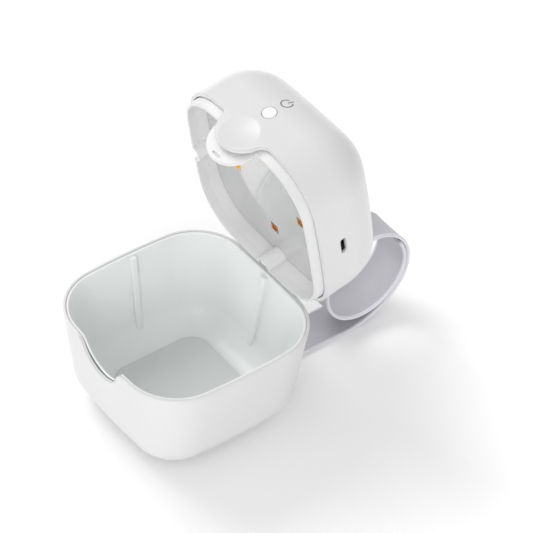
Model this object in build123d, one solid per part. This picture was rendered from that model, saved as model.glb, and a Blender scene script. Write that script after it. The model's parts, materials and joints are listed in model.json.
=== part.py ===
from build123d import *
from math import atan2, cos, degrees, radians, sin, sqrt, tan
import os

# Pacifier sterilizer case: a cup-shaped base and a domed lid on a rear hinge, drawn with
# the lid standing open. Millimetres, +Z up, origin at the middle of the base's underside,
# front towards -Y, USB socket towards +X.
# Lid pieces are drawn in the closed place and then swung open about the hinge axis.

# Clearances
seam_gap = 0.3            # between rim and closed lid, and round the tongue in its notch
fit_gap = 0.1             # between pieces of one body that seat in each other
running_gap = 0.05        # radial, hinge pin in the lid's knuckles
knuckle_gap = 0.3         # between neighbouring knuckles
skirt_gap = 1.0           # frame's skirt to the bowl, at the rim
frame_gap = 0.4           # frame to the lid shell
lip_gap = 0.4             # lid's inner lip to the bowl's front wall
button_gap = 0.2          # radial, button in its hole
beyond = 1.0              # how far a cutting solid reaches past the face it cuts

# Base
base_half = 42.5          # half width at the rim
base_corner = 24.0
side_crown = 320.0        # radius of the slight outward curve of each side
base_height = 48.0
base_draft = 7.25         # degrees
base_edge = 17.5          # rounding between sides and underside
base_wall = 1.3
base_floor = 1.5
rim_round = 0.5

# Inner bowl
bowl_drop = 0.25          # its rim below the shell's rim
bowl_round = 0.4
bowl_draft = 10.0
bowl_wall = 1.0
bowl_floor = 1.2
bowl_edge = 12.0
floor_top = 7.0           # height of the floor plate's upper face
plate_gap = 0.15          # floor plate to the rounding round it
plate_corner = 8.5
plate_thick = 0.8
rib_width = 3.0
rib_depth_top = 2.1
rib_depth_foot = 1.1
rib_round = 0.8
rib_top_drop = 1.1        # below the rim
rib_foot_rise = 2.0       # above the floor plate
side_rib_y = 1.5

# Finger notch in the front wall, and the lid's tongue in it
notch_radius = 11.9
notch_drop = 0.1          # notch centre above the rim
notch_flare = 4.0
dimple_radius = 8.8
dimple_depth = 0.7
dimple_drop = 2.2         # below the rim

# Hinge
knuckle_radius = 1.9
hinge_lap = 0.64          # knuckles reach in over the base's outline
hinge_sink = 0.15         # knuckles reach below the rim
pin_radius = 0.9
hinge_length = 30.0
knuckle_count = 5
web_foot_drop = 10.0      # lower end of the base's hinge webs, below the rim
arm_rise = 2.4            # foot of the lid's hinge arms, above the axis
open_angle = 78.35

# Lid shell
lid_shift = 0.0           # lid centre in Y
lid_height = 34.3
lid_draft = 1.6
lid_edge = 21.0
lid_wall = 1.6

# Lid frame
frame_wall = 1.2
skirt_drop = 3.6          # below the rim
skirt_draft = 5.8
ceiling_rise = 5.2        # reflector's lower face above the rim
reflector_thick = 0.5
deck_thick = 1.2
flute_radius = 4.2
flute_proud = 3.6
side_flute_y = 2.2
back_flute_x = 0.8
lip_radius = 11.6
lip_centre_drop = 4.6
lip_thick = 1.3
lip_slot_width = 4.3
lip_slot_height = 0.8
lip_slot_drop = 14.1
lip_slot_depth = 0.6
snap_height = 0.6
snap_proud = 0.2

# Ultraviolet LEDs and their board
led_count = 4
led_size = 4.0
led_circle = 20.6
led_shift = 1.4           # circle centre in Y
led_gap = 0.2
led_proud = 0.05
led_lens_radius = 1.4
led_lens_depth = 0.3
led_board_margin = 2.0    # board beyond the LEDs
led_board_corner = 12.0
led_board_thick = 0.8

# Screws through frame and control board into the lid shell
post_inset_x = 8.5        # from the control board's sides
post_inset_y = 10.5
post_radius = 3.1
boss_radius = 2.8
screw_head_radius = 1.9
screw_head_height = 1.0
screw_radius = 1.0
screw_length = 9.0

# Control board and what is on it
usb_y = 1.55
usb_rise = 10.74          # socket centre above the rim
usb_width = 7.5
usb_height = 2.6
usb_corner = 1.0
usb_depth = 5.6
usb_recess = 1.0          # socket's mouth inside the lid's side
usb_skin = 0.3
usb_back = 1.1
usb_tongue_width = 3.8
usb_tongue_thick = 0.5
usb_tongue_recess = 1.4
board_gap = 3.2           # control board to the lid shell's wall
board_thick = 1.2
board_margin = 2.0        # board's front edge to what stands along it
header_width = 10.0
header_depth = 3.0
header_y = -12.5
battery_x = 45.0
battery_y = 34.0
battery_z = 8.0
battery_corner = 3.0
battery_round = 1.0
pad_thick = 1.0
pad_inset = 3.0           # inside the battery's outline
chip_size = 7.0
chip_thick = 0.9
chip_x = -15.0
chip_gap = 0.5            # in front of the battery
switch_width = 6.0
switch_depth = 3.6
switch_nub = 1.2
sensor_size = 3.0
sensor_height = 1.0
sensor_x = 9.5
status_led_size = 1.6
status_led_x = -8.8

# Power button and mark
button_rise = 11.9        # above the rim
button_radius = 2.9
button_proud = 0.25
button_flange = 0.8
button_flange_lip = 0.8
button_stem = 1.1
button_travel = 0.4
mark_rise = 20.2
mark_radius = 2.5
mark_line = 0.5
mark_gap = 2.2            # in the ring, round the bar
mark_bar_low = 0.5
mark_bar_high = 3.2
mark_depth = 0.25

# Magnet behind the front wall
magnet_width = 10.0
magnet_height = 4.5
magnet_thick = 0.6
magnet_drop = 15.2

# Carrying strap: a flat band, held in the base, laid along the floor and rolled in a ring
strap_width = 18.8
strap_thick = 1.4
strap_layer_gap = 0.2
strap_grip = 9.0          # band's end inside the edge of the base's flat underside
strap_run_out = 10.0      # straight run beyond that edge
strap_dip_radius = 20.0
strap_reach = 33.44       # end of the floor strand behind the hinge axis
strap_bend = 15.0         # ring's radius over the band's thickness
# The ring's arcs in turn: radius as a part of the ring's, and degrees
ring_turns = [(1.5905, 55.5), (1.0048, 59.5), (1.0143, 86.6), (1.0, 103.2), (0.9381, 66.5),
              (1.0143, 53.0), (0.919, 60.0)]
closure_inset = 1.9       # patch inside the band's edges
anchor_length = 8.0
anchor_thick = 0.6
anchor_foot_radius = 3.0
anchor_screw_radius = 0.9
anchor_head_radius = 1.7
anchor_head_height = 0.5
anchor_gap = 0.2          # screw heads to the bowl's underside

# Heights that follow
rim = base_height
seam = rim + seam_gap
ceiling = rim + ceiling_rise
deck_bottom = ceiling + reflector_thick
deck_top = deck_bottom + deck_thick
board_top = rim + usb_rise - usb_height / 2
board_bottom = board_top - board_thick
pad_top = board_top + pad_thick
bowl_base = floor_top - plate_thick
lip_bottom = rim - lip_centre_drop - lip_radius
hinge_z = rim - hinge_sink + knuckle_radius
anchor_top = bowl_base - bowl_floor - anchor_gap - anchor_head_height
strap_entry_z = anchor_top - anchor_thick - strap_thick / 2

# Half widths, corners and places that follow, from the base inwards to the lid
base_flat = base_half - base_height * tan(radians(base_draft)) - base_edge * tan(radians(45 - base_draft / 2))
bowl_half = base_half - base_wall - fit_gap
bowl_corner = base_corner - base_wall - fit_gap
frame_half = bowl_half - bowl_wall - skirt_gap
lid_half = frame_half + frame_gap + lid_wall
lid_corner = base_corner - (base_half - lid_half) / 2
frame_corner = lid_corner - (lid_half - frame_half)
frame_front = lid_shift - frame_half
board_half = lid_half - lid_wall - board_gap
board_corner = lid_corner - (lid_half - board_half)
board_front = lid_shift - board_half
post_x = board_half - post_inset_x
post_y = board_half - post_inset_y
led_board_half = led_circle + led_size / 2 + led_board_margin
hinge_y = base_half - hinge_lap + knuckle_radius
anchor_screw_x = strap_width / 2 + anchor_foot_radius + 2 * seam_gap
strap_start_y = base_flat - strap_grip
strap_entry_run = strap_grip + strap_run_out
strap_floor_end = hinge_y + strap_reach


def crowned_plan(half, corner, crown):
    """Rounded square with crowned sides: four side arcs and four corner arcs, all tangent."""
    centre = half - crown
    reach = crown - corner
    c = (centre + sqrt(2 * reach**2 - centre**2)) / 2
    far = c + corner * (c - centre) / reach
    near = c + corner * c / reach
    bulge = c + corner / sqrt(2)
    edges = []
    for quarter in range(4):
        turn = Rot(0, 0, 90 * quarter)
        edges.append(turn * ThreePointArc((far, -near), (half, 0), (far, near)))
        edges.append(turn * ThreePointArc((far, near), (bulge, bulge), (near, far)))
    return make_face(edges)


def drafted_block(half, corner, height, draft, inset=0.0):
    """Solid with a crowned plan at z=0 that narrows upwards."""
    plan = crowned_plan(half - inset, corner - inset, side_crown - inset)
    return extrude(plan, amount=height, taper=draft)


def dome(half, corner, height, draft, edge, inset=0.0):
    """Drafted block with its far end rounded, narrowing upwards from z=0."""
    block = drafted_block(half, corner, height, draft, inset)
    return fillet(block.faces().sort_by(Axis.Z)[-1].edges(), edge)


def cup(half, corner, depth, draft, edge):
    """Dome turned over, with its wide end at the rim."""
    return Pos(0, 0, rim) * Rot(180, 0, 0) * dome(half, corner, depth, draft, edge)


def notch_outline(radius, flare, line, top):
    """Round notch whose sides flare out into the horizontal line: an outline in X and Z."""
    centre_z = rim + notch_drop
    flare_z = line - flare
    flare_x = sqrt((radius + flare) ** 2 - (flare_z - centre_z) ** 2)
    touch_x = flare_x * radius / (radius + flare)
    touch_z = centre_z + (flare_z - centre_z) * radius / (radius + flare)
    middle = (radians(90) + atan2(touch_z - flare_z, touch_x - flare_x)) / 2
    middle_x = flare_x + flare * cos(middle)
    middle_z = flare_z + flare * sin(middle)
    right = ThreePointArc((flare_x, line), (middle_x, middle_z), (touch_x, touch_z))
    bottom = ThreePointArc((touch_x, touch_z), (0, centre_z - radius), (-touch_x, touch_z))
    left = ThreePointArc((-touch_x, touch_z), (-middle_x, middle_z), (-flare_x, line))
    above = Polyline((-flare_x, line), (-flare_x, top), (flare_x, top), (flare_x, line))
    return Plane.XZ * make_face([right, bottom, left, above])


def along_y(outline, y_from, y_to):
    """Extrude an outline drawn in X and Z from y_from to y_to."""
    return Pos(0, y_to, 0) * extrude(outline, amount=y_to - y_from)


def notch_cut():
    """Cutting solid of the finger notch, through the front walls of shell and bowl."""
    outline = notch_outline(notch_radius, notch_flare, rim, rim + beyond)
    return along_y(outline, -base_half - beyond, 0)


def along_x(points, x_from, x_to):
    """Prism over a polygon of (y, z) points."""
    return Pos(x_from, 0, 0) * extrude(Plane.YZ * make_face(Polyline(*points, close=True)),
                                       amount=x_to - x_from)


def box_between(low, high):
    """Box from its lowest to its highest corner."""
    size = [b - a for a, b in zip(low, high)]
    middle = [(a + b) / 2 for a, b in zip(low, high)]
    return Pos(*middle) * Box(*size)


def rod_z(radius, x, y, z_from, z_to):
    """Upright cylinder."""
    return Pos(x, y, (z_from + z_to) / 2) * Cylinder(radius, z_to - z_from)


def hinge_rod(radius, x_from, x_to):
    """Cylinder on the hinge axis."""
    return Pos((x_from + x_to) / 2, hinge_y, hinge_z) * Rot(0, 90, 0) * Cylinder(radius, x_to - x_from)


def knuckle_span(index):
    """Ends in X of one knuckle, counted from -X."""
    pitch = (hinge_length + knuckle_gap) / knuckle_count
    start = -hinge_length / 2 + index * pitch
    return start, start + pitch - knuckle_gap


def knuckle(index, foot_y, foot_z, foot_radius):
    """Knuckle with its web: the hull of the barrel and a foot inside the wall."""
    x_from, x_to = knuckle_span(index)
    barrel = CenterArc((hinge_y, hinge_z), knuckle_radius, 0, 360)
    foot = CenterArc((foot_y, foot_z), foot_radius, 0, 360)
    return Pos(x_from, 0, 0) * extrude(Plane.YZ * make_hull([barrel, foot]), amount=x_to - x_from)


def corner_places(x, y, y_middle=0.0):
    """Four places, one in each quarter."""
    return [(sx * x, y_middle + sy * y) for sx in (-1, 1) for sy in (-1, 1)]


def swing_open(piece):
    """Turn a lid piece from its closed place to the open one."""
    return Pos(0, hinge_y, hinge_z) * Rot(-open_angle, 0, 0) * Pos(0, -hinge_y, -hinge_z) * piece


# Base ---------------------------------------------------------------------------------

def make_base_shell():
    """Outer cup with the finger notch, the hinge knuckles and the strap's slot."""
    outer = cup(base_half, base_corner, base_height, base_draft, base_edge)
    outer = fillet(outer.faces().sort_by(Axis.Z)[-1].edges(), rim_round)
    outer = outer - notch_cut()
    inner = cup(base_half - base_wall, base_corner - base_wall, base_height - base_floor,
                base_draft, base_edge - base_wall)
    shell = outer - inner
    foot_z = rim - web_foot_drop
    foot_y = base_half - web_foot_drop * tan(radians(base_draft)) - base_wall / 2
    for index in range(0, knuckle_count, 2):
        shell = shell + knuckle(index, foot_y, foot_z, base_wall / 2 - fit_gap)
    shell = shell - hinge_rod(pin_radius, -hinge_length, hinge_length)
    slot_half = strap_width / 2 + seam_gap
    slot_low = strap_entry_z - strap_thick / 2 - seam_gap
    slot_high = strap_entry_z + strap_thick / 2 + seam_gap
    return shell - box_between((-slot_half, base_flat, slot_low), (slot_half, base_half, slot_high))


def bowl_wall_y(z):
    """Distance of the bowl's inner wall from the middle, where the wall is straight."""
    return bowl_half - bowl_wall - (rim - z) * tan(radians(bowl_draft))


def make_rib():
    """Upright guide rib on the +X wall, proud of the wall and fading out at its foot."""
    top = rim - rib_top_drop
    foot = floor_top + rib_foot_rise
    points = [(bowl_wall_y(top) + bowl_wall / 2, top),
              (bowl_wall_y(top) - rib_depth_top, top),
              (bowl_wall_y(foot) - rib_depth_foot, foot),
              (bowl_wall_y(foot) + bowl_wall / 2, foot)]
    rib = Rot(0, 0, -90) * along_x(points, -rib_width / 2, rib_width / 2)
    front = rib.faces().sort_by(lambda face: face.normal_at().X)[0]
    return fillet(front.edges().filter_by(lambda edge: edge.length > 2 * rib_width), rib_round)


def make_inner_bowl():
    """Liner with two guide ribs and a small snap ridge under the notch."""
    outer = cup(bowl_half, bowl_corner, rim - bowl_base + bowl_floor, bowl_draft, bowl_edge + bowl_wall)
    inner = cup(bowl_half - bowl_wall, bowl_corner - bowl_wall, rim - bowl_base, bowl_draft, bowl_edge)
    bowl = outer - inner - box_between((-base_half, -base_half, rim - bowl_drop), (base_half, base_half, rim))
    rim_face = bowl.faces().sort_by(Axis.Z)[-1]
    bowl = fillet(rim_face.inner_wires()[0].edges(), bowl_round)
    for angle, shift in ((90, 0), (180, -side_rib_y)):
        rib = Rot(0, 0, angle) * Pos(0, shift, 0) * make_rib()
        bowl = bowl + (rib & outer)
    snap_z = rim - lip_slot_drop
    wall_y = -bowl_wall_y(snap_z)
    ridge = box_between((-lip_slot_width / 2 + seam_gap, wall_y - bowl_wall / 2, snap_z - snap_height / 2),
                        (lip_slot_width / 2 - seam_gap, wall_y + snap_proud, snap_z + snap_height / 2))
    bowl = bowl + ridge
    return bowl - notch_cut()


def make_floor_plate():
    """Thin loose plate on the bowl's floor."""
    plate_half = bowl_wall_y(bowl_base) - bowl_edge * tan(radians(45 - bowl_draft / 2)) - plate_gap
    plate = extrude(RectangleRounded(2 * plate_half, 2 * plate_half, plate_corner), amount=plate_thick)
    plate = fillet(plate.faces().sort_by(Axis.Z)[-1].edges(), plate_thick / 3)
    return Pos(0, 0, bowl_base) * plate


def make_base_magnet():
    """Bar magnet between base shell and bowl, under the notch."""
    shell_y = -(base_half - base_wall - magnet_drop * tan(radians(base_draft)))
    lean = (base_draft + bowl_draft) / 2
    place = Pos(0, shell_y + fit_gap + magnet_thick / 2, rim - magnet_drop) * Rot(lean, 0, 0)
    return place * Box(magnet_width, magnet_thick, magnet_height)


# Strap --------------------------------------------------------------------------------

def strap_steps():
    """Runs and arcs of the band's middle line, seen from +X: lengths, or radius and degrees."""
    drop = strap_entry_z - strap_thick / 2
    dip = degrees(2 * atan2(sqrt(drop), sqrt(4 * strap_dip_radius - drop)))
    dip_length = 2 * strap_dip_radius * sin(radians(dip))
    flat = strap_floor_end - strap_start_y - strap_entry_run - dip_length
    ring = [(share * strap_bend * strap_thick, turn) for share, turn in ring_turns]
    return [(strap_entry_run, 0), (strap_dip_radius, -dip), (strap_dip_radius, dip), (flat, 0)] + ring


def walk(steps):
    """Places and headings after each step, as (y, z, heading in degrees)."""
    y, z, heading = strap_start_y, strap_entry_z, 0.0
    places = [(y, z, heading)]
    for size, turn in steps:
        if turn == 0:
            y += size * cos(radians(heading))
            z += size * sin(radians(heading))
        else:
            side = 1 if turn > 0 else -1
            y += side * size * (sin(radians(heading + turn)) - sin(radians(heading)))
            z -= side * size * (cos(radians(heading + turn)) - cos(radians(heading)))
            heading += turn
        places.append((y, z, heading))
    return places


def beside(place, offset):
    """Point at an offset to the left of the band's middle line."""
    y, z, heading = place
    return y - offset * sin(radians(heading)), z + offset * cos(radians(heading))


def side_edges(steps, places, offset):
    """Edges that run beside the middle line at an offset to its left."""
    edges = []
    for (size, turn), start, end in zip(steps, places, places[1:]):
        if turn == 0:
            edges.append(Line(beside(start, offset), beside(end, offset)))
        else:
            side = 1 if turn > 0 else -1
            middle_heading = start[2] + turn / 2
            middle_y = start[0] + side * size * (sin(radians(middle_heading)) - sin(radians(start[2])))
            middle_z = start[1] - side * size * (cos(radians(middle_heading)) - cos(radians(start[2])))
            middle = beside((middle_y, middle_z, middle_heading), offset)
            edges.append(ThreePointArc(beside(start, offset), middle, beside(end, offset)))
    return edges


def band(steps, places, low, high, width):
    """Flat band of a given width between two offsets from the middle line."""
    ends = [Line(beside(place, low), beside(place, high)) for place in (places[0], places[-1])]
    outline = make_face(side_edges(steps, places, low) + side_edges(steps, places, high) + ends)
    return Pos(-width / 2, 0, 0) * extrude(Plane.YZ * outline, amount=width)


def make_strap_band():
    """The whole band, from its clamp in the base to its free end inside the ring."""
    steps = strap_steps()
    return band(steps, walk(steps), -strap_thick / 2, strap_thick / 2, strap_width)


def make_strap_closure():
    """Hook-and-loop patch between the outer layer and the free end."""
    steps = strap_steps()[-1:]
    places = walk(strap_steps())[-2:]
    low = -strap_thick / 2 - strap_layer_gap
    return band(steps, places, low, -strap_thick / 2, strap_width - 2 * closure_inset)


def make_strap_anchor():
    """Clamp plate over the band's end, under the bowl."""
    low = anchor_top - anchor_thick
    reach = anchor_screw_x + anchor_foot_radius
    plate = box_between((-reach, strap_start_y, low), (reach, strap_start_y + anchor_length, anchor_top))
    y = strap_start_y + anchor_length / 2
    for x in (-anchor_screw_x, anchor_screw_x):
        foot = rod_z(anchor_foot_radius, x, y, base_floor, low)
        hole = rod_z(anchor_screw_radius, x, y, 0, anchor_top)
        plate = plate + foot - hole
    return plate


def make_anchor_screws():
    """Two screws through the clamp plate into the base's floor."""
    y = strap_start_y + anchor_length / 2
    screws = []
    for x in (-anchor_screw_x, anchor_screw_x):
        shank = rod_z(anchor_screw_radius, x, y, base_floor, anchor_top)
        head = rod_z(anchor_head_radius, x, y, anchor_top, anchor_top + anchor_head_height)
        screws.append(shank + head)
    return Compound(children=screws)


# Lid ----------------------------------------------------------------------------------

def lid_dome(inset):
    """Domed volume of the lid, drawn in from its outside by an inset."""
    solid = dome(lid_half, lid_corner, lid_height - inset, lid_draft, lid_edge - inset, inset)
    return Pos(0, lid_shift, seam) * solid


def front_wall(rise):
    """Place on the lid's front face at a height above the rim, facing inwards along +Z."""
    y = lid_shift - lid_half + (rise - seam_gap) * tan(radians(lid_draft))
    return Pos(0, y, rim + rise) * Rot(-90 - lid_draft, 0, 0)


def mark_outline():
    """Broken ring with a bar in its gap, on the lid's front, in X and Z."""
    ring = Circle(mark_radius) - Circle(mark_radius - mark_line)
    ring = ring - Pos(0, mark_radius) * Rectangle(mark_gap, 2 * mark_radius)
    bar = Pos(0, (mark_bar_low + mark_bar_high) / 2) * Rectangle(mark_line, mark_bar_high - mark_bar_low)
    return Plane.XZ * Pos(0, rim + mark_rise) * (ring + bar)


def make_power_symbol():
    """Inlaid mark, flush with the lid's front."""
    skin = lid_dome(0) - lid_dome(mark_depth)
    return along_y(mark_outline(), -base_half - beyond, 0) & skin


def usb_block(margin, x_from, x_to):
    """Rounded slot of the USB socket, grown by a margin, along X."""
    width = usb_width + 2 * margin
    height = usb_height + 2 * margin
    slot = RectangleRounded(width, height, usb_corner + margin)
    outline = Plane.YZ * Pos(usb_y, rim + usb_rise) * slot
    return Pos(x_from, 0, 0) * extrude(outline, amount=x_to - x_from)


def make_lid_shell():
    """Domed shell with its tongue, dimple, holes, screw bosses and hinge arms."""
    front_y = lid_shift - lid_half
    plan = crowned_plan(lid_half, lid_corner, side_crown)
    hollow = crowned_plan(lid_half - lid_wall, lid_corner - lid_wall, side_crown - lid_wall)
    skirt = Pos(0, lid_shift, 0) * extrude(plan - hollow, amount=seam)
    outline = notch_outline(notch_radius - seam_gap, notch_flare + seam_gap, seam, seam + beyond)
    tongue = along_y(outline, -base_half - beyond, 0) & skirt
    shell = lid_dome(0) - lid_dome(lid_wall) + tongue
    places = corner_places(post_x, post_y, lid_shift)
    for x, y in places:
        boss = rod_z(boss_radius, x, y, board_top, seam + lid_height)
        hole = rod_z(screw_radius, x, y, board_bottom, deck_top + screw_length)
        shell = shell + (boss & lid_dome(lid_wall / 2)) - hole
    arm_y = lid_half + lid_shift - lid_wall / 2
    for index in range(1, knuckle_count, 2):
        shell = shell + knuckle(index, arm_y, hinge_z + arm_rise, lid_wall / 2 - fit_gap)
    shell = shell - hinge_rod(pin_radius + running_gap, -hinge_length, hinge_length)
    ball = (dimple_radius**2 + dimple_depth**2) / (2 * dimple_depth)
    shell = shell - Pos(0, front_y + dimple_depth - ball, rim - dimple_drop) * Sphere(ball)
    shell = shell - front_wall(button_rise) * Cylinder(button_radius + button_gap, 2 * lid_wall + beyond)
    shell = shell - usb_block(fit_gap, usb_mouth_x() - usb_depth, lid_half + beyond)
    return shell - make_power_symbol()


def lid_to_frame_volume(inset):
    """Volume inside the lid shell that the frame fills, from the skirt's edge to the deck's top."""
    upper = drafted_block(frame_half, frame_corner, deck_top - seam, lid_draft, inset)
    lower = Rot(180, 0, 0) * drafted_block(frame_half, frame_corner, seam - rim + skirt_drop, skirt_draft,
                                           inset)
    return Pos(0, lid_shift, seam) * (upper + lower)


def make_flute():
    """Half-round post inside the +X wall and the groove on its outer side."""
    low = rim - skirt_drop
    centre = frame_half - frame_wall - flute_proud + flute_radius
    post = rod_z(flute_radius, centre, 0, low, deck_bottom)
    groove = rod_z(flute_radius - frame_wall, centre, 0, low - beyond, deck_bottom)
    return post, groove


def lip_solid():
    """Round inner lip that hangs behind the tongue and follows the bowl's front wall."""
    start = frame_half - (seam - rim + skirt_drop) * tan(radians(skirt_draft))
    fall = start - lid_shift - (bowl_wall_y(lip_bottom) - lip_gap)
    slope = degrees(atan2(fall, rim - skirt_drop - lip_bottom))
    depth = rim - lip_bottom
    outer = Rot(180, 0, 0) * drafted_block(start, frame_corner, depth, slope)
    inner = Rot(180, 0, 0) * drafted_block(start, frame_corner, depth, slope, lip_thick)
    sheet = Pos(0, lid_shift, rim - skirt_drop) * (outer - inner)
    disc = Pos(0, 0, rim - lip_centre_drop) * Rot(90, 0, 0) * Cylinder(lip_radius, 2 * base_half)
    front = box_between((-lip_radius, -base_half, lip_bottom - beyond), (lip_radius, 0, rim - skirt_drop))
    return sheet & disc & front


def make_lid_frame():
    """Frame with its skirt, flutes, lip, deck with LED windows, and screw posts."""
    volume = lid_to_frame_volume(0)
    frame = volume - (lid_to_frame_volume(frame_wall) & box_between(
        (-base_half, -base_half, 0), (base_half, base_half, deck_bottom)))
    for angle, shift in ((90, -back_flute_x), (180, -side_flute_y)):
        post, groove = make_flute()
        place = Pos(0, lid_shift, 0) * Rot(0, 0, angle) * Pos(0, shift, 0)
        frame = frame + ((place * post) & volume) - place * groove
    frame = frame + lip_solid()
    slot_z = rim - lip_slot_drop
    wall_y = -bowl_wall_y(slot_z) + lip_gap
    frame = frame - box_between((-lip_slot_width / 2, wall_y - lip_thick, slot_z - lip_slot_height / 2),
                                (lip_slot_width / 2, wall_y + lip_slot_depth, slot_z + lip_slot_height / 2))
    for x, y in led_places():
        window = led_size / 2 + led_gap
        frame = frame - box_between((x - window, y - window, deck_bottom - beyond),
                                    (x + window, y + window, deck_top + beyond))
    for x, y in corner_places(post_x, post_y, lid_shift):
        frame = frame + rod_z(post_radius, x, y, deck_bottom, board_bottom)
    for x, y in corner_places(post_x, post_y, lid_shift):
        frame = frame - rod_z(screw_head_radius + fit_gap, x, y, deck_bottom - beyond, deck_top)
        frame = frame - rod_z(screw_radius + fit_gap, x, y, deck_bottom, board_bottom + beyond)
    return frame


def led_places():
    """Middles of the LED packages, one on each side of the circle."""
    step = 360 / led_count
    return [(led_circle * cos(radians(step * i)), led_shift + led_circle * sin(radians(step * i)))
            for i in range(led_count)]


def make_reflector_plate():
    """Mirror plate on the deck's lower face, cut for the LEDs and the flutes."""
    inset = frame_wall + fit_gap + (deck_bottom - seam) * tan(radians(lid_draft))
    plan = crowned_plan(frame_half - inset, frame_corner - inset, side_crown)
    plate = Pos(0, lid_shift, ceiling) * extrude(plan, amount=reflector_thick)
    centre = frame_half - frame_wall - flute_proud + flute_radius
    for angle, shift in ((90, -back_flute_x), (180, -side_flute_y)):
        post = rod_z(flute_radius + fit_gap, centre, shift, ceiling - beyond, deck_bottom + beyond)
        plate = plate - Pos(0, lid_shift, 0) * Rot(0, 0, angle) * post
    for x, y in led_places():
        window = led_size / 2 + led_gap
        plate = plate - box_between((x - window, y - window, ceiling - beyond),
                                    (x + window, y + window, deck_top))
    return plate


def make_led_board():
    """Square board on the deck, with the LEDs under it."""
    board = extrude(RectangleRounded(2 * led_board_half, 2 * led_board_half, led_board_corner),
                    amount=led_board_thick)
    return Pos(0, led_shift, deck_top) * board


def make_uv_led(index):
    """Square LED package that hangs from its board through the deck and the reflector."""
    x, y = led_places()[index]
    half = led_size / 2
    low = ceiling - led_proud
    body = box_between((x - half, y - half, low), (x + half, y + half, deck_top))
    return body - rod_z(led_lens_radius, x, y, low - beyond, low + led_lens_depth)


def make_control_board():
    """Main board, clamped by the frame's posts against the shell's bosses."""
    plan = crowned_plan(board_half, board_corner, side_crown)
    board = Pos(0, lid_shift, board_bottom) * extrude(plan, amount=board_thick)
    for x, y in corner_places(post_x, post_y, lid_shift):
        board = board - rod_z(screw_radius + fit_gap, x, y, board_bottom - beyond, board_top + beyond)
    return board


def make_frame_screws():
    """Four screws from the deck's counterbores into the shell's bosses."""
    screws = []
    for x, y in corner_places(post_x, post_y, lid_shift):
        head = rod_z(screw_head_radius, x, y, deck_top - screw_head_height, deck_top)
        shank = rod_z(screw_radius, x, y, deck_top, deck_top + screw_length)
        screws.append(head + shank)
    return Compound(children=screws)


def make_board_header():
    """Low connector between the LED board and the control board."""
    low = deck_top + led_board_thick
    return box_between((-header_width / 2, header_y - header_depth / 2, low),
                       (header_width / 2, header_y + header_depth / 2, board_bottom))


def usb_mouth_x():
    """Place of the socket's mouth, set back from the lid's side."""
    return lid_half - (usb_rise - seam_gap) * tan(radians(lid_draft)) - usb_recess


def make_usb_port():
    """Socket shell with its contact tongue."""
    mouth = usb_mouth_x()
    back = mouth - usb_depth
    body = usb_block(0, back, mouth)
    cavity = usb_block(-usb_skin, back + usb_back, mouth + beyond)
    z = rim + usb_rise
    tongue = box_between((back, usb_y - usb_tongue_width / 2, z - usb_tongue_thick / 2),
                         (mouth - usb_tongue_recess, usb_y + usb_tongue_width / 2, z + usb_tongue_thick / 2))
    return body - cavity + tongue


def make_controller_chip():
    """Square controller on the control board."""
    y_far = -battery_y / 2 - chip_gap
    return box_between((chip_x - chip_size / 2, y_far - chip_size, board_top),
                       (chip_x + chip_size / 2, y_far, board_top + chip_thick))


def button_length():
    """From the lid's front face to the inner end of the button's stem."""
    return lid_wall + fit_gap + button_flange + button_stem


def make_power_button():
    """Round cap with a retaining flange inside the wall and a stem to the switch."""
    flange_from = lid_wall + fit_gap
    cap = Pos(0, 0, (flange_from - button_proud) / 2) * Cylinder(button_radius, flange_from + button_proud)
    cap = fillet(cap.edges().sort_by(Axis.Z)[0:1], button_proud)
    flange = Pos(0, 0, flange_from + button_flange / 2) * Cylinder(button_radius + button_flange_lip,
                                                                  button_flange)
    stem = Pos(0, 0, button_length() / 2) * Cylinder(button_stem, button_length())
    return front_wall(button_rise) * (cap + flange + stem)


def make_tact_switch():
    """Side-actuated switch behind the button."""
    tip_y = lid_shift - lid_half + button_length() + button_travel + fit_gap
    tip_y += (button_rise - seam_gap) * tan(radians(lid_draft))
    nub_from = tip_y + switch_nub
    z = rim + button_rise
    body = box_between((-switch_width / 2, nub_from, board_top),
                       (switch_width / 2, nub_from + switch_depth, 2 * z - board_top))
    nub = Pos(0, tip_y + switch_nub / 2, z) * Rot(90, 0, 0) * Cylinder(button_stem, switch_nub)
    return body + nub


def make_hall_sensor():
    """Small sensor on the control board's front edge, above the base's magnet."""
    front = board_front + board_margin
    half = sensor_size / 2
    return box_between((sensor_x - half, front, board_top),
                       (sensor_x + half, front + sensor_size, board_top + sensor_height))


def make_status_led():
    """Indicator LED on the control board beside the switch."""
    front = board_front + board_margin
    half = status_led_size / 2
    return box_between((status_led_x - half, front, board_top),
                       (status_led_x + half, front + status_led_size, board_top + half))


def make_battery_pad():
    """Foam pad under the battery."""
    plan = RectangleRounded(battery_x - 2 * pad_inset, battery_y - 2 * pad_inset, battery_corner)
    return Pos(0, 0, board_top) * extrude(plan, amount=pad_thick)


def make_battery():
    """Flat lithium cell."""
    cell = extrude(RectangleRounded(battery_x, battery_y, battery_corner), amount=battery_z)
    cell = fillet(cell.edges().filter_by(GeomType.LINE).filter_by(Plane.XY), battery_round)
    return Pos(0, 0, pad_top) * cell


def make_hinge_pin():
    """Pin through all knuckles."""
    return hinge_rod(pin_radius, -hinge_length / 2, hinge_length / 2)


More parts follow.
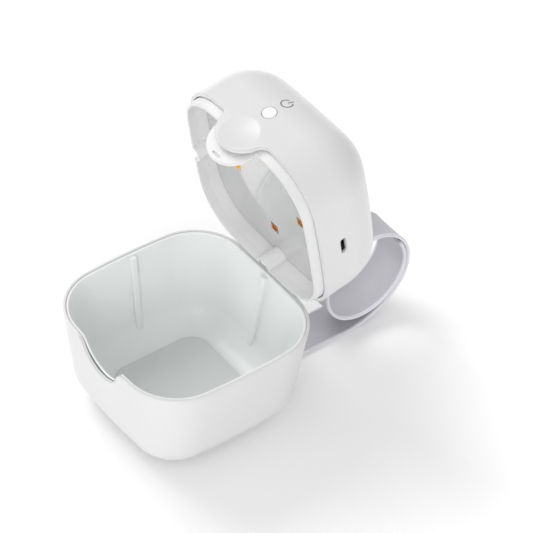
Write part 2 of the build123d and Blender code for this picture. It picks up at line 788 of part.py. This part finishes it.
base_nodes = {
    "base_shell": make_base_shell,
    "inner_bowl": make_inner_bowl,
    "floor_plate": make_floor_plate,
    "base_magnet": make_base_magnet,
    "hinge_pin": make_hinge_pin,
    "strap_band": make_strap_band,
    "strap_closure": make_strap_closure,
    "strap_anchor": make_strap_anchor,
    "anchor_screws": make_anchor_screws,
}
lid_nodes = {
    "lid_shell": make_lid_shell,
    "lid_frame": make_lid_frame,
    "reflector_plate": make_reflector_plate,
    "led_board": make_led_board,
    "control_board": make_control_board,
    "frame_screws": make_frame_screws,
    "board_header": make_board_header,
    "usb_port": make_usb_port,
    "controller_chip": make_controller_chip,
    "power_button": make_power_button,
    "power_symbol": make_power_symbol,
    "tact_switch": make_tact_switch,
    "hall_sensor": make_hall_sensor,
    "status_led": make_status_led,
    "battery_pad": make_battery_pad,
    "battery": make_battery,
}

os.makedirs("parts", exist_ok=True)
for name, make in base_nodes.items():
    export_step(make(), f"parts/{name}.step")
for name, make in lid_nodes.items():
    export_step(swing_open(make()), f"parts/{name}.step")
for index in range(led_count):
    export_step(swing_open(make_uv_led(index)), f"parts/uv_led_{index + 1}.step")
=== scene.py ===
import json
from math import atan2, cos, degrees, radians, sin, sqrt

import bpy
from mathutils import Matrix, Vector


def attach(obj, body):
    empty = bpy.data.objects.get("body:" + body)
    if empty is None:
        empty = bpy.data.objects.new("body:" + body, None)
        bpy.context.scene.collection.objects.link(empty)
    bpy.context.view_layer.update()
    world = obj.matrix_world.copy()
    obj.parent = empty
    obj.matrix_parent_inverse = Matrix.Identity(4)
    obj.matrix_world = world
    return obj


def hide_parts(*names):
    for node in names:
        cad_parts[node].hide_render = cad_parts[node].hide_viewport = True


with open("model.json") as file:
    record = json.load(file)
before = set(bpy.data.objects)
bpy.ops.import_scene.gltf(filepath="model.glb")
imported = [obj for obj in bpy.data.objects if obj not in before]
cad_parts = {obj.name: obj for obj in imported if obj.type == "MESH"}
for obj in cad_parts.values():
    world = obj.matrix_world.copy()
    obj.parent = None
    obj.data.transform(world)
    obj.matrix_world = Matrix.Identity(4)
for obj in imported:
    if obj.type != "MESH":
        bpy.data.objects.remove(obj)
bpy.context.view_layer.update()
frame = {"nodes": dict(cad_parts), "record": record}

MM = 0.001

# Camera: turned round the case, raised, and rolled a little, looking at the rim's middle
CAMERA_AZIMUTH = 50.739
CAMERA_ELEVATION = 43.413
CAMERA_ROLL = -3.379
CAMERA_DISTANCE = 1114.15 * MM
CAMERA_RIGHT = -31.855 * MM      # rim's middle, right of the view's middle
CAMERA_UP = -18.392 * MM         # rim's middle, above the view's middle
CAMERA_LENS = 189.8
CAMERA_SENSOR = 36.0
RIM_MIDDLE = Vector((0, 0, 48 * MM))

# Strap in millimetres and degrees. Its middle line, seen from +X, is a run through the base, a
# dip to the floor, a run along it, and the arcs of the ring as (radius, turn).
STRAP_WIDTH = 18.8
STRAP_THICK = 1.4
STRAP_START = (11.98, 3.0)
STRAP_ENTRY_RUN = 19.0
STRAP_DIP_RADIUS = 20.0
STRAP_FLOOR_END = 77.2
RING_TURNS = [(33.4, 55.5), (21.1, 59.5), (21.3, 86.6), (21.0, 103.2), (19.7, 66.5), (21.3, 53.0),
              (19.3, 60.0)]
STRAP_STEP = 1.0                 # distance between the band's cross-sections
STRAP_EDGE = 0.9                 # width of the raised line along each edge
STRAP_SINK = 0.16                # depth of the face between the edge lines
STRAP_CORNER_STEP = 30           # degrees between points of the section's round edges

# LEDs: height less X, over which their colour turns from brown painted shade to pale amber painted light
LED_PAINTED_SHADE_AT = 80 * MM
LED_PAINTED_LIGHT_AT = 104 * MM

# Floor, with painted light glowing on it between two distances from the case so the floor near the case
# stays darker like shadow, and light
FLOOR_HALF = 6.0
FLOOR_COLOUR = (0.96, 0.96, 0.96, 1)
PAINTED_GLOW_START = 80 * MM
PAINTED_GLOW_END = 190 * MM
PAINTED_GLOW_STRENGTH = 0.22
WORLD_STRENGTH = 0.74
LAMP_TARGET = Vector((0, 0.03, 0.05))
LAMPS = {                        # place, size and power
    "key_lamp": ((-1.15, -0.2, 1.2), 0.8, 10),
    "corner_lamp": ((0.9, -1.0, 0.5), 0.8, 7),
}

# Colour sockets of the Mix node
MIX_A, MIX_B, MIX_RESULT = 6, 7, 2


# Nodes of a material -------------------------------------------------------------------

def new_material(name):
    """Empty node material with its Principled shader."""
    material = bpy.data.materials.new(name)
    material.use_nodes = True
    shader = material.node_tree.nodes["Principled BSDF"]
    return material, material.node_tree, shader


def add(tree, kind, **values):
    """Add a node and set its inputs or properties by name."""
    node = tree.nodes.new(kind)
    for key, value in values.items():
        if hasattr(node, key):
            setattr(node, key, value)
        else:
            node.inputs[key].default_value = value
    return node


def place_part(tree, axis):
    """One coordinate in object space, in metres."""
    where = add(tree, "ShaderNodeTexCoord")
    split = add(tree, "ShaderNodeSeparateXYZ")
    tree.links.new(where.outputs["Object"], split.inputs["Vector"])
    return split.outputs[axis]


def combine(tree, operation, first, second):
    """Math node over two outputs or numbers."""
    node = add(tree, "ShaderNodeMath", operation=operation)
    for socket, value in zip(node.inputs, (first, second)):
        if isinstance(value, (int, float)):
            socket.default_value = value
        else:
            tree.links.new(value, socket)
    return node.outputs["Value"]


def between(tree, source, start, end):
    """Smooth 0..1 step of an output between two values."""
    step = add(tree, "ShaderNodeMapRange", interpolation_type="SMOOTHSTEP")
    step.inputs["From Min"].default_value = start
    step.inputs["From Max"].default_value = end
    tree.links.new(source, step.inputs["Value"])
    return step.outputs["Result"]


def blend(tree, factor, colour_a, colour_b):
    """Mix two colour outputs by a 0..1 output."""
    mix = add(tree, "ShaderNodeMix", data_type="RGBA")
    tree.links.new(factor, mix.inputs["Factor"])
    tree.links.new(colour_a, mix.inputs[MIX_A])
    tree.links.new(colour_b, mix.inputs[MIX_B])
    return mix.outputs[MIX_RESULT]


def place_noise(tree, scale, detail=3.0):
    """Noise in object space, sized in features per metre."""
    where = add(tree, "ShaderNodeTexCoord")
    noise = add(tree, "ShaderNodeTexNoise", Scale=scale, Detail=detail)
    tree.links.new(where.outputs["Object"], noise.inputs["Vector"])
    return noise


def spread(tree, source, low, high):
    """Map a 0..1 output to low..high."""
    mapped = tree.nodes.new("ShaderNodeMapRange")
    mapped.inputs["To Min"].default_value = low
    mapped.inputs["To Max"].default_value = high
    tree.links.new(source, mapped.inputs["Value"])
    return mapped.outputs["Result"]


def tint(tree, source, colour_a, colour_b):
    """Blend two colours by a 0..1 output."""
    ramp = tree.nodes.new("ShaderNodeValToRGB")
    ramp.color_ramp.elements[0].color = (*colour_a, 1)
    ramp.color_ramp.elements[1].color = (*colour_b, 1)
    ramp.color_ramp.elements[0].position = 0.3
    ramp.color_ramp.elements[1].position = 0.7
    tree.links.new(source, ramp.inputs["Fac"])
    return ramp.outputs["Color"]


def add_bump(tree, shader, height, strength, distance, edge_radius=0.0):
    """Bump on the shader's normal, with softened edges where edge_radius isn't 0."""
    bump = add(tree, "ShaderNodeBump", Strength=strength, Distance=distance)
    tree.links.new(height, bump.inputs["Height"])
    if edge_radius:
        soft = add(tree, "ShaderNodeBevel", samples=4, Radius=edge_radius)
        tree.links.new(soft.outputs["Normal"], bump.inputs["Normal"])
    tree.links.new(bump.outputs["Normal"], shader.inputs["Normal"])


def plastic(name, colour, roughness, variation=0.02, grain=2600.0, grain_depth=0.02, edge=0.35 * MM,
            coat=0.0):
    """Moulded plastic: faint cloudiness in colour and gloss, fine grain, softened edges."""
    material, tree, shader = new_material(name)
    cloud = place_noise(tree, 45.0)
    darker = tuple(c * (1 - variation) for c in colour)
    tree.links.new(tint(tree, cloud.outputs["Fac"], darker, colour), shader.inputs["Base Color"])
    flow = place_noise(tree, 160.0, 4.0)
    tree.links.new(spread(tree, flow.outputs["Fac"], roughness * 0.88, roughness * 1.12),
                   shader.inputs["Roughness"])
    fine = place_noise(tree, grain, 2.0)
    add_bump(tree, shader, fine.outputs["Fac"], 0.25, grain_depth * MM, edge)
    shader.inputs["Coat Weight"].default_value = coat
    shader.inputs["Coat Roughness"].default_value = 0.12
    return material


def metal(name, colour, roughness, grain=900.0):
    """Plain metal with faint streaks."""
    material, tree, shader = new_material(name)
    shader.inputs["Metallic"].default_value = 1.0
    streak = place_noise(tree, grain, 5.0)
    darker = tuple(c * 0.88 for c in colour)
    tree.links.new(tint(tree, streak.outputs["Fac"], darker, colour), shader.inputs["Base Color"])
    tree.links.new(spread(tree, streak.outputs["Fac"], roughness * 0.8, roughness * 1.2),
                   shader.inputs["Roughness"])
    add_bump(tree, shader, streak.outputs["Fac"], 0.15, 0.01 * MM)
    return material


def mirror_film(name):
    """Reflective film: part metal, part milky, with slight haze and a soft waviness."""
    material, tree, shader = new_material(name)
    shader.inputs["Metallic"].default_value = 0.6
    haze = place_noise(tree, 70.0)
    tree.links.new(tint(tree, haze.outputs["Fac"], (0.64, 0.64, 0.645), (0.67, 0.67, 0.675)),
                   shader.inputs["Base Color"])
    tree.links.new(spread(tree, haze.outputs["Fac"], 0.05, 0.08), shader.inputs["Roughness"])
    wave = place_noise(tree, 28.0, 1.0)
    add_bump(tree, shader, wave.outputs["Fac"], 0.04, 0.1 * MM)
    return material


def amber_lens(name):
    """Amber silicone over a chip, glossy, with painted light and shade: pale amber painted light high on
    the lid's -X side, browner painted shade low on its +X side."""
    material, tree, shader = new_material(name)
    depth = place_noise(tree, 380.0)
    # painted shade (brown) and painted light (pale amber) versions of the amber, mixed by height less X
    painted_shade_amber = tint(tree, depth.outputs["Fac"], (0.34, 0.10, 0.004), (0.46, 0.15, 0.006))
    painted_light_amber = tint(tree, depth.outputs["Fac"], (0.90, 0.42, 0.012), (1.0, 0.54, 0.03))
    slant = combine(tree, "SUBTRACT", place_part(tree, "Z"), place_part(tree, "X"))
    tree.links.new(blend(tree, between(tree, slant, LED_PAINTED_SHADE_AT, LED_PAINTED_LIGHT_AT), painted_shade_amber, painted_light_amber),
                   shader.inputs["Base Color"])
    tree.links.new(spread(tree, depth.outputs["Fac"], 0.25, 0.38), shader.inputs["Roughness"])
    shader.inputs["Specular IOR Level"].default_value = 0.3
    add_bump(tree, shader, depth.outputs["Fac"], 0.1, 0.05 * MM)
    return material


def circuit_laminate(name):
    """Green solder mask with faint copper traces under it."""
    material, tree, shader = new_material(name)
    where = add(tree, "ShaderNodeTexCoord")
    brick = add(tree, "ShaderNodeTexBrick", Scale=420.0)
    brick.inputs["Color1"].default_value = (0.012, 0.10, 0.045, 1)
    brick.inputs["Color2"].default_value = (0.016, 0.12, 0.055, 1)
    brick.inputs["Mortar"].default_value = (0.03, 0.20, 0.09, 1)
    brick.inputs["Mortar Size"].default_value = 0.03
    tree.links.new(where.outputs["Object"], brick.inputs["Vector"])
    tree.links.new(brick.outputs["Color"], shader.inputs["Base Color"])
    noise = place_noise(tree, 700.0)
    tree.links.new(spread(tree, noise.outputs["Fac"], 0.3, 0.42), shader.inputs["Roughness"])
    add_bump(tree, shader, brick.outputs["Fac"], 0.2, 0.03 * MM)
    return material


def strap_silicone(name):
    """Soft matte band with a fine grain and paler edges."""
    material, tree, shader = new_material(name)
    cloud = place_noise(tree, 60.0)
    face = tint(tree, cloud.outputs["Fac"], (0.45, 0.445, 0.48), (0.50, 0.495, 0.53))
    rim = tint(tree, cloud.outputs["Fac"], (0.68, 0.67, 0.72), (0.74, 0.73, 0.78))
    out = combine(tree, "ABSOLUTE", place_part(tree, "X"), 0.0)
    near_edge = between(tree, out, (STRAP_WIDTH / 2 - STRAP_EDGE - STRAP_THICK / 2) * MM,
                        (STRAP_WIDTH / 2 - STRAP_EDGE) * MM)
    tree.links.new(blend(tree, near_edge, face, rim), shader.inputs["Base Color"])
    fine = place_noise(tree, 3200.0, 2.0)
    tree.links.new(spread(tree, fine.outputs["Fac"], 0.55, 0.72), shader.inputs["Roughness"])
    shader.inputs["Sheen Weight"].default_value = 0.15
    shader.inputs["Sheen Roughness"].default_value = 0.5
    add_bump(tree, shader, fine.outputs["Fac"], 0.3, 0.03 * MM)
    return material


def make_materials():
    """One material for each slot of the record."""
    return {
        "white_shell": plastic("white_shell", (0.71, 0.71, 0.71), 0.30, edge=0.6 * MM, coat=0.12),
        "bowl_liner": plastic("bowl_liner", (0.84, 0.86, 0.85), 0.32),
        "grey_plate": plastic("grey_plate", (0.66, 0.68, 0.67), 0.35),
        "frame_white": plastic("frame_white", (0.76, 0.76, 0.76), 0.40),
        "button_white": plastic("button_white", (0.88, 0.88, 0.88), 0.25, edge=0.2 * MM),
        "grey_mark": plastic("grey_mark", (0.20, 0.20, 0.205), 0.40, edge=0.0),
        "board_plastic": plastic("board_plastic", (0.03, 0.03, 0.032), 0.45, variation=0.2, edge=0.0),
        "led_white": plastic("led_white", (0.75, 0.75, 0.68), 0.25, edge=0.0),
        "foam": plastic("foam", (0.04, 0.04, 0.042), 0.9, variation=0.3, grain=1500.0, grain_depth=0.2,
                        edge=0.0),
        "battery_wrap": plastic("battery_wrap", (0.30, 0.33, 0.37), 0.35, variation=0.1, edge=0.0),
        "steel": metal("steel", (0.56, 0.56, 0.57), 0.3),
        "mirror_plate": mirror_film("mirror_plate"),
        "amber_led": amber_lens("amber_led"),
        "circuit_board": circuit_laminate("circuit_board"),
        "strap": strap_silicone("strap"),
        "strap_patch": plastic("strap_patch", (0.12, 0.12, 0.125), 0.9, variation=0.3, grain=2400.0,
                               grain_depth=0.2, edge=0.0),
    }


def dress_nodes(materials):
    """Give every CAD node its slot's material."""
    slot_of = {part["node"]: part["material_slot"] for part in frame["record"]["subparts"]}
    for name, piece in frame["nodes"].items():
        piece.data.materials.clear()
        piece.data.materials.append(materials[slot_of[name]])


# Strap ---------------------------------------------------------------------------------

def strap_steps():
    """Steps of the middle line: (length, 0) for a run, (radius, degrees) for an arc."""
    drop = STRAP_START[1] - STRAP_THICK / 2
    dip = degrees(2 * atan2(sqrt(drop), sqrt(4 * STRAP_DIP_RADIUS - drop)))
    dip_length = 2 * STRAP_DIP_RADIUS * sin(radians(dip))
    flat = STRAP_FLOOR_END - STRAP_START[0] - STRAP_ENTRY_RUN - dip_length
    return [(STRAP_ENTRY_RUN, 0), (STRAP_DIP_RADIUS, -dip), (STRAP_DIP_RADIUS, dip), (flat, 0)] + RING_TURNS


def strap_places():
    """Evenly spaced places (y, z, heading in radians, distance) along the middle line."""
    y, z = STRAP_START
    heading, walked = 0.0, 0.0
    places = [(y, z, heading, walked)]
    for size, turn in strap_steps():
        angle = radians(turn)
        length = size if turn == 0 else size * abs(angle)
        count = max(2, round(length / STRAP_STEP))
        for _ in range(count):
            part = angle / count
            chord = length / count if turn == 0 else 2 * size * sin(abs(part) / 2)
            y += chord * cos(heading + part / 2)
            z += chord * sin(heading + part / 2)
            heading += part
            walked += length / count
            places.append((y, z, heading, walked))
    return places


def strap_section():
    """Cross-section as (x, offset) points: rounded edges with a raised line along each."""
    half, thick = STRAP_WIDTH / 2, STRAP_THICK / 2
    inner = half - thick - STRAP_EDGE
    slope = inner - 2 * STRAP_SINK
    right = [(half - thick + thick * cos(radians(angle)), thick * sin(radians(angle)))
             for angle in range(-90, 91, STRAP_CORNER_STEP)]
    face = [(inner, thick), (slope, thick - STRAP_SINK), (0, thick - STRAP_SINK),
            (-slope, thick - STRAP_SINK), (-inner, thick)]
    half_turn = [(-x, -offset) for x, offset in right + face]
    return right + face + half_turn


def make_strap(material):
    """The rolled strap as one closed band."""
    section = strap_section()
    vertices, faces = [], []
    places = strap_places()
    for y, z, heading, _ in places:
        for x, offset in section:
            vertices.append((x * MM, (y - offset * sin(heading)) * MM, (z + offset * cos(heading)) * MM))
    count = len(section)
    for ring in range(len(places) - 1):
        for i in range(count):
            a = ring * count + i
            b = ring * count + (i + 1) % count
            faces.append((a, b, b + count, a + count))
    faces.append(tuple(reversed(range(count))))
    faces.append(tuple(range((len(places) - 1) * count, len(places) * count)))
    mesh = bpy.data.meshes.new("carry_strap")
    mesh.from_pydata(vertices, [], faces)
    mesh.validate()
    mesh.materials.append(material)
    strap = bpy.data.objects.new("carry_strap", mesh)
    bpy.context.scene.collection.objects.link(strap)
    for polygon in mesh.polygons:
        polygon.use_smooth = len(polygon.vertices) == 4
    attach(strap, "base")
    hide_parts("strap_band")


# Stage ---------------------------------------------------------------------------------

def make_floor():
    """Wide pale floor that the object's shadow falls on, with painted light glowing faintly away from the
    case for camera, glossy and transmission rays, so the floor near the case looks darker like shadow.
    """
    half = FLOOR_HALF
    mesh = bpy.data.meshes.new("floor")
    corners = [(-half, -half, 0), (half, -half, 0), (half, half, 0), (-half, half, 0)]
    mesh.from_pydata(corners, [], [(0, 1, 2, 3)])
    floor = bpy.data.objects.new("floor", mesh)
    bpy.context.scene.collection.objects.link(floor)
    material, tree, shader = new_material("floor_paper")
    shader.inputs["Base Color"].default_value = FLOOR_COLOUR
    shader.inputs["Roughness"].default_value = 0.9
    shader.inputs["Specular IOR Level"].default_value = 0.1
    where = add(tree, "ShaderNodeTexCoord")
    distance = add(tree, "ShaderNodeVectorMath", operation="LENGTH")
    tree.links.new(where.outputs["Object"], distance.inputs[0])
    # painted light: the floor glows more the farther it is from the case, leaving a darker pool near the
    # case like shadow
    painted_glow_mask = between(tree, distance.outputs["Value"], PAINTED_GLOW_START, PAINTED_GLOW_END)
    painted_glow = combine(tree, "MULTIPLY", painted_glow_mask, PAINTED_GLOW_STRENGTH)
    rays = add(tree, "ShaderNodeLightPath").outputs
    seen = combine(tree, "MAXIMUM", rays["Is Camera Ray"], rays["Is Glossy Ray"])
    seen = combine(tree, "MAXIMUM", seen, rays["Is Transmission Ray"])
    shader.inputs["Emission Color"].default_value = (1, 1, 1, 1)
    tree.links.new(combine(tree, "MULTIPLY", painted_glow, seen), shader.inputs["Emission Strength"])
    mesh.materials.append(material)


def make_world():
    """Even pale surroundings."""
    world = bpy.data.worlds.new("studio")
    bpy.context.scene.world = world
    world.use_nodes = True
    background = world.node_tree.nodes["Background"]
    background.inputs["Color"].default_value = (1, 1, 1, 1)
    background.inputs["Strength"].default_value = WORLD_STRENGTH


def make_lamp(name, place, size, power):
    """Square soft lamp that faces the case."""
    data = bpy.data.lights.new(name, "AREA")
    data.shape = "SQUARE"
    data.size = size
    data.energy = power
    lamp = bpy.data.objects.new(name, data)
    lamp.location = place
    aim = LAMP_TARGET - Vector(place)
    lamp.rotation_mode = "QUATERNION"
    lamp.rotation_quaternion = aim.to_track_quat("-Z", "Y")
    bpy.context.scene.collection.objects.link(lamp)


def make_camera():
    """Camera at the viewing angle, with its picture's middle off the case as framed."""
    azimuth, elevation = radians(CAMERA_AZIMUTH), radians(CAMERA_ELEVATION)
    roll = radians(CAMERA_ROLL)
    back = Vector((sin(azimuth) * cos(elevation), -cos(azimuth) * cos(elevation), sin(elevation)))
    level = Vector((cos(azimuth), sin(azimuth), 0))
    upright = back.cross(level)
    right = cos(roll) * level - sin(roll) * upright
    up = sin(roll) * level + cos(roll) * upright
    data = bpy.data.cameras.new("camera")
    data.lens = CAMERA_LENS
    data.sensor_width = CAMERA_SENSOR
    data.clip_start, data.clip_end = 0.1, 20
    camera = bpy.data.objects.new("camera", data)
    camera.rotation_mode = "QUATERNION"
    camera.rotation_quaternion = Matrix((right, up, back)).transposed().to_quaternion()
    camera.location = RIM_MIDDLE - CAMERA_RIGHT * right - CAMERA_UP * up + CAMERA_DISTANCE * back
    bpy.context.scene.collection.objects.link(camera)
    bpy.context.scene.camera = camera


materials = make_materials()
dress_nodes(materials)
make_strap(materials["strap"])
make_floor()
make_world()
for lamp_name, (lamp_place, lamp_size, lamp_power) in LAMPS.items():
    make_lamp(lamp_name, lamp_place, lamp_size, lamp_power)
make_camera()
bpy.context.scene.view_settings.view_transform = "Standard"
